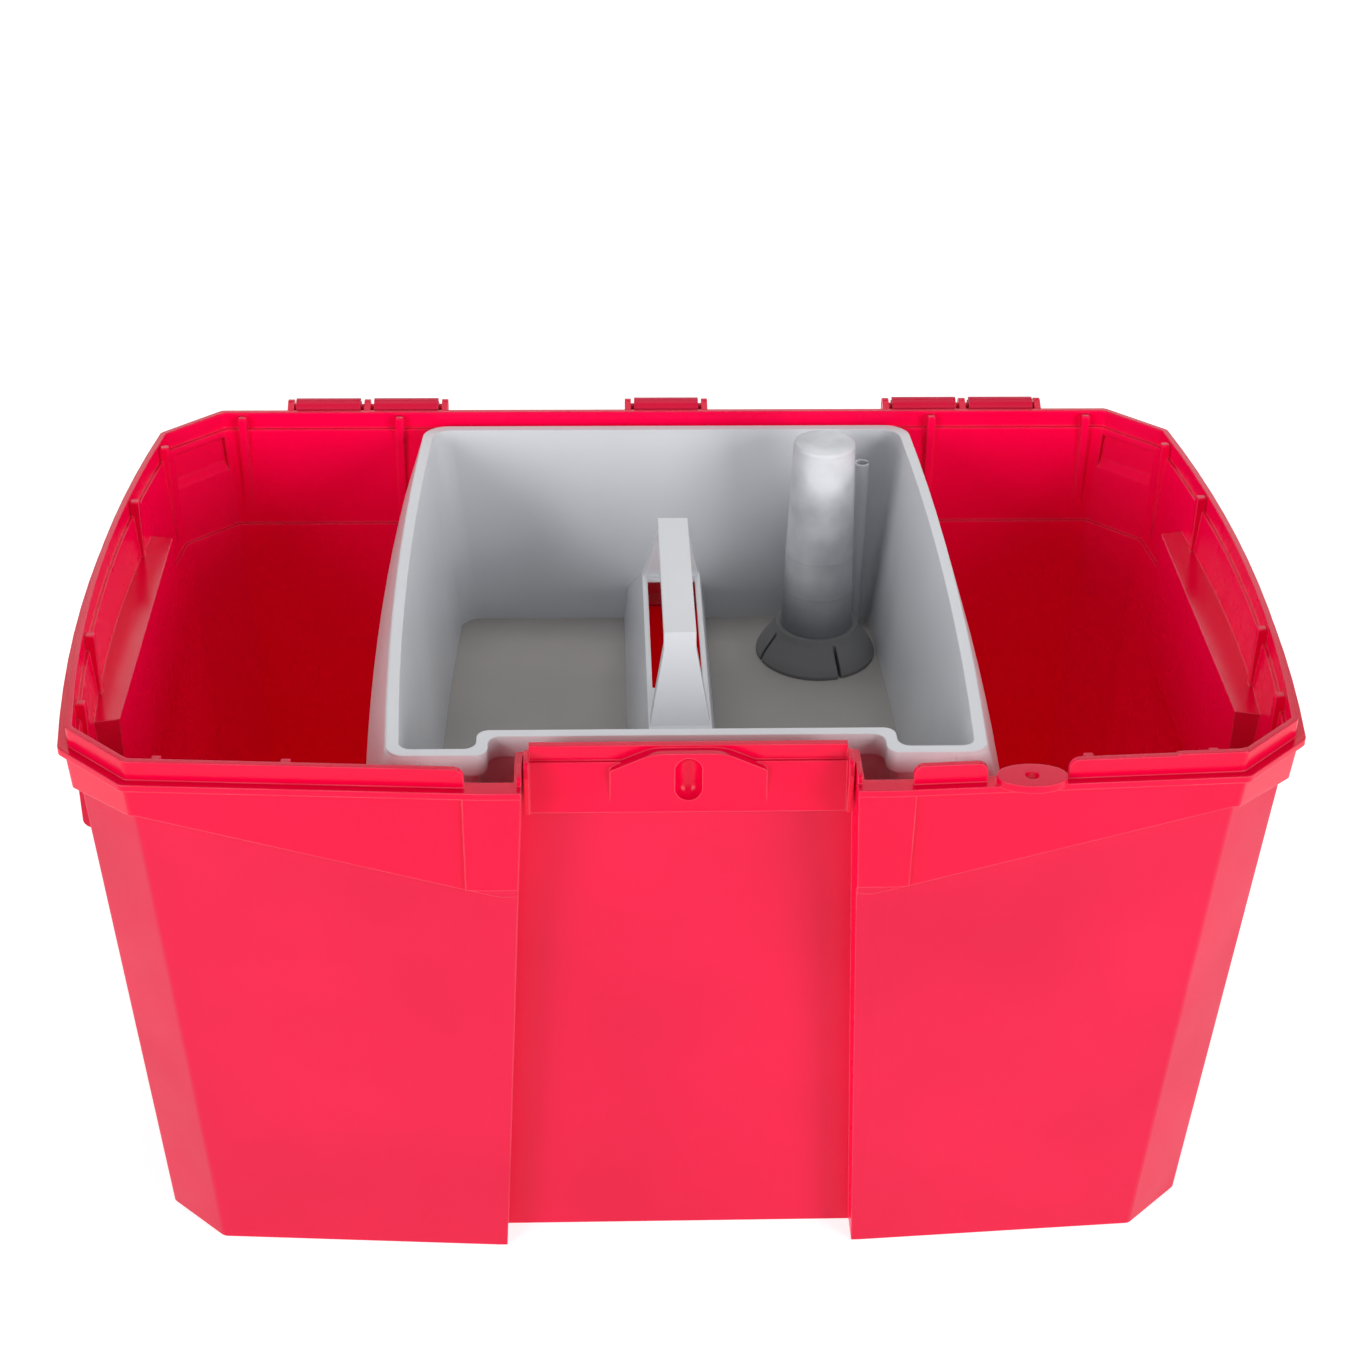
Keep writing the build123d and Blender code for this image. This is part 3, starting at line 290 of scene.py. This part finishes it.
def swept_rod_tree():
    """Round rod along every edge it is given, with rounded ends and a smooth taper."""
    tree = bpy.data.node_groups.new("swept_rod", "GeometryNodeTree")
    face = tree.interface
    face.new_socket("Axes", in_out="INPUT", socket_type="NodeSocketGeometry")
    for label in ("Start Radius", "End Radius", "End Round", "Ring Height", "Lower Ring", "Upper Ring"):
        face.new_socket(label, in_out="INPUT", socket_type="NodeSocketFloat")
    face.new_socket("Sides", in_out="INPUT", socket_type="NodeSocketInt")
    face.new_socket("Finish", in_out="INPUT", socket_type="NodeSocketMaterial")
    face.new_socket("Rods", in_out="OUTPUT", socket_type="NodeSocketGeometry")
    given = add(tree, "NodeGroupInput").outputs
    axis = add(tree, "GeometryNodeMeshToCurve", {"Mesh": given["Axes"]})
    fine = add(tree, "GeometryNodeResampleCurve", {"Curve": axis.outputs["Curve"], "Count": ROD_STEPS})
    along = add(tree, "GeometryNodeSplineParameter").outputs
    whole = add(tree, "GeometryNodeSplineLength").outputs["Length"]

    # Straight taper from the start to the end.
    taper = add(tree, "ShaderNodeMapRange", {"Value": along["Factor"], "To Min": given["Start Radius"],
                                            "To Max": given["End Radius"]})
    # Quarter-round at the end that is nearer: how far inside the rounding a point is, then its circle.
    left = add(tree, "ShaderNodeMath", {0: whole, 1: along["Length"]}, operation="SUBTRACT")
    near = add(tree, "ShaderNodeMath", {0: left.outputs["Value"], 1: along["Length"]}, operation="MINIMUM")
    inside = add(tree, "ShaderNodeMath", {0: given["End Round"], 1: near.outputs["Value"]},
                 operation="SUBTRACT")
    depth = add(tree, "ShaderNodeMath", {0: inside.outputs["Value"], 1: 0.0}, operation="MAXIMUM")
    round_squared = add(tree, "ShaderNodeMath", {0: given["End Round"], 1: 2.0}, operation="POWER")
    depth_squared = add(tree, "ShaderNodeMath", {0: depth.outputs["Value"], 1: 2.0}, operation="POWER")
    rest = add(tree, "ShaderNodeMath", {0: round_squared.outputs["Value"],
                                       1: depth_squared.outputs["Value"]}, operation="SUBTRACT")
    circle = add(tree, "ShaderNodeMath", {0: rest.outputs["Value"]}, operation="SQRT")
    cut = add(tree, "ShaderNodeMath", {0: given["End Round"], 1: circle.outputs["Value"]},
              operation="SUBTRACT")
    radius = add(tree, "ShaderNodeMath", {0: taper.outputs["Result"], 1: cut.outputs["Value"]},
                 operation="SUBTRACT").outputs["Value"]
    # Two witness rings where the mould's core pieces meet.
    for label in ("Lower Ring", "Upper Ring"):
        away = add(tree, "ShaderNodeMath", {0: along["Length"], 1: given[label]}, operation="SUBTRACT")
        gap = add(tree, "ShaderNodeMath", {0: away.outputs["Value"]}, operation="ABSOLUTE")
        ring = add(tree, "ShaderNodeMapRange", {"Value": gap.outputs["Value"], "From Min": RING_FLAT,
                                               "From Max": RING_END, "To Min": given["Ring Height"],
                                               "To Max": 0.0})
        radius = add(tree, "ShaderNodeMath", {0: radius, 1: ring.outputs["Result"]},
                     operation="ADD").outputs["Value"]
    outline = add(tree, "GeometryNodeCurvePrimitiveCircle", {"Resolution": given["Sides"], "Radius": 1.0})
    tube = add(tree, "GeometryNodeCurveToMesh", {"Curve": fine.outputs["Curve"], "Scale": radius,
                                                "Profile Curve": outline.outputs["Curve"], "Fill Caps": True})
    smooth = add(tree, "GeometryNodeSetShadeSmooth", {"Geometry": tube.outputs["Mesh"]})
    real = add(tree, "GeometryNodeRealizeInstances", {"Geometry": smooth.outputs["Geometry"]})
    finish = add(tree, "GeometryNodeSetMaterial", {"Geometry": real.outputs["Geometry"],
                                                  "Material": given["Finish"]})
    add(tree, "NodeGroupOutput", {"Rods": finish.outputs["Geometry"]})
    return tree


def grown(name, tree, spans, sizes, body, nodes):
    """Plain piece that a geometry tree grows from a few straight axes, for the nodes it stands for."""
    axes = bpy.data.meshes.new(name + "_axes")
    points = [point for span in spans for point in span]
    axes.from_pydata(points, [(2 * k, 2 * k + 1) for k in range(len(spans))], [])
    made = bpy.data.objects.new(name, axes)
    bpy.context.scene.collection.objects.link(made)
    growth = made.modifiers.new("growth", "NODES")
    growth.node_group = tree
    for item in tree.interface.items_tree:
        if item.in_out == "INPUT" and item.name in sizes:
            growth[item.identifier] = sizes[item.name]
    ready = made.evaluated_get(bpy.context.evaluated_depsgraph_get())
    mesh = bpy.data.meshes.new_from_object(ready)
    made.modifiers.remove(growth)
    made.data = mesh
    form = bmesh.new()
    form.from_mesh(mesh)
    bmesh.ops.remove_doubles(form, verts=form.verts, dist=JOIN_WITHIN / 2)
    bmesh.ops.recalc_face_normals(form, faces=form.faces)
    for edge in form.edges:
        if len(edge.link_faces) == 2 and edge.calc_face_angle(0) > CAP_SHARP_FROM:
            edge.smooth = False
    form.to_mesh(mesh)
    form.free()
    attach(made, body)
    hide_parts(*nodes)


# The post tapers from its CAD foot to this radius.
POST_TOP_RADIUS = 17.4 * MM


def post_and_rods():
    """The tray's tapered post and the three hinge rods, grown by the same tree."""
    tree = swept_rod_tree()
    low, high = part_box("tray_post")
    middle = [(low[k] + high[k]) / 2 for k in (0, 1)]
    foot = Vector((middle[0], middle[1], low[2]))
    top = Vector((middle[0], middle[1], high[2]))
    grown("tray_post_drawn", tree, [(foot, top)], {
        "Start Radius": (high[0] - low[0]) / 2, "End Radius": POST_TOP_RADIUS, "End Round": 1.4 * MM,
        "Lower Ring": 45 * MM, "Upper Ring": 68 * MM, "Ring Height": 0.25 * MM, "Sides": 96,
        "Finish": smudged_foot_shaded_grey}, "tray", ["tray_post"])
    spans = []
    names = ["hinge_rod_left", "hinge_rod_centre", "hinge_rod_right"]
    for name in names:
        low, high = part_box(name)
        y, z = (low[1] + high[1]) / 2, (low[2] + high[2]) / 2
        spans.append((Vector((low[0], y, z)), Vector((high[0], y, z))))
    radius = (high[2] - low[2]) / 2
    grown("hinge_rods_drawn", tree, spans, {
        "Start Radius": radius, "End Radius": radius, "End Round": 0.8 * MM, "Lower Ring": 0.0,
        "Upper Ring": 0.0, "Ring Height": 0.0, "Sides": 32, "Finish": gloss_red}, "box", names)


for node, width in (("catch_bar", 0.5), ("side_grip_left", 0.6), ("side_grip_right", 0.6)):
    softened(node, "box", [gloss_red], width * MM)
softened("box_body", "box", [gloss_red, grained_red, inner_red], 0.45 * MM, box_finish)
softened("tray", "tray", [satin_grey, shaded_floor_grey], 1.8 * MM, tray_finish, tray_rim)
softened("slotted_tube", "tray", [satin_grey], 0.25 * MM)
softened("post_collar", "tray", [matt_elastomer], 0.4 * MM)
softened("lid_shell", "lid", [grained_red], 0.5 * MM)
for node, body in (("latch_flap", "flap"), ("latch_pin_left", "lid"), ("latch_pin_right", "lid")):
    softened(node, body, [gloss_red], 0.35 * MM)
post_and_rods()


# ---------------------------------------------------------------- stage, light and camera

# Half the floor's side, in metres.
FLOOR_HALF = 30.0


def floor():
    """Plain pale floor, far wider than the object."""
    mesh = bpy.data.meshes.new("floor")
    half = FLOOR_HALF
    corners = [(-half, -half, 0), (half, -half, 0), (half, half, 0), (-half, half, 0)]
    mesh.from_pydata(corners, [], [(0, 1, 2, 3)])
    made = bpy.data.objects.new("floor", mesh)
    bpy.context.scene.collection.objects.link(made)
    material = bpy.data.materials.new("pale_floor")
    material.use_nodes = True
    shader = material.node_tree.nodes["Principled BSDF"]
    shader.inputs["Base Color"].default_value = linear("#C8C8C8")
    shader.inputs["Roughness"].default_value = 0.9
    shader.inputs["Emission Color"].default_value = linear("#FFFFFF")
    shader.inputs["Emission Strength"].default_value = 0.75
    mesh.materials.append(material)


def soft_light(name, place, target, width, height, power):
    """Rectangular soft light aimed at a point."""
    data = bpy.data.lights.new(name, "AREA")
    data.shape = "RECTANGLE"
    data.size = width
    data.size_y = height
    data.energy = power
    made = bpy.data.objects.new(name, data)
    bpy.context.scene.collection.objects.link(made)
    made.location = place
    made.rotation_euler = (Vector(target) - Vector(place)).to_track_quat("-Z", "Y").to_euler()


def lighting():
    """Surround that is bright low down, a light overhead, one behind for the rims and two in front."""
    world = bpy.data.worlds.new("studio")
    world.use_nodes = True
    tree = world.node_tree
    tree.nodes.clear()
    way = add(tree, "ShaderNodeTexCoord").outputs["Object"]
    height = add(tree, "ShaderNodeSeparateXYZ", {"Vector": way})
    fade = add(tree, "ShaderNodeMapRange", {"Value": height.outputs["Z"], "From Min": 0.05, "From Max": 0.4,
                                           "To Min": 0.9, "To Max": 0.2})
    sky = add(tree, "ShaderNodeBackground", {"Color": linear("#FFFFFF"),
                                            "Strength": fade.outputs["Result"]})
    add(tree, "ShaderNodeOutputWorld", {"Surface": sky.outputs["Background"]})
    bpy.context.scene.world = world
    soft_light("overhead", (0, 0.4, 2.4), (0, 0, 0.2), 1.6, 0.8, 13)
    soft_light("back", (0, 2.3, 1.5), (0, 0, 0.3), 2.4, 0.8, 12)
    soft_light("front_left", (-1.65, -1.85, 1.0), (0, 0, 0.25), 1.0, 1.3, 30)
    soft_light("front_right", (1.75, -1.75, 1.0), (0, 0, 0.25), 1.0, 1.3, 34)


# Where the camera stands in metres, its turns in degrees, and its lens on a 36 mm sensor.
CAMERA_PLACE = (-0.045, -1.145, 0.947)
CAMERA_PITCH_YAW_ROLL = (31.57, 2.39, 0.88)
CAMERA_LENS_MM = 66.18


def camera():
    """Camera in front and above, turned and tilted a little."""
    place = Vector(CAMERA_PLACE)
    pitch, yaw, roll = (math.radians(angle) for angle in CAMERA_PITCH_YAW_ROLL)
    forward = Vector((math.sin(yaw) * math.cos(pitch), math.cos(yaw) * math.cos(pitch), -math.sin(pitch)))
    level = forward.cross(Vector((0, 0, 1))).normalized()
    upright = level.cross(forward)
    right = math.cos(roll) * level + math.sin(roll) * upright
    up = -math.sin(roll) * level + math.cos(roll) * upright
    data = bpy.data.cameras.new("camera")
    data.lens = CAMERA_LENS_MM
    data.sensor_width = 36
    data.clip_start = 0.05
    data.clip_end = 30
    made = bpy.data.objects.new("camera", data)
    bpy.context.scene.collection.objects.link(made)
    made.matrix_world = Matrix.Translation(place) @ Matrix((right, up, -forward)).transposed().to_4x4()
    bpy.context.scene.camera = made


floor()
lighting()
camera()
bpy.context.scene.view_settings.view_transform = "Standard"
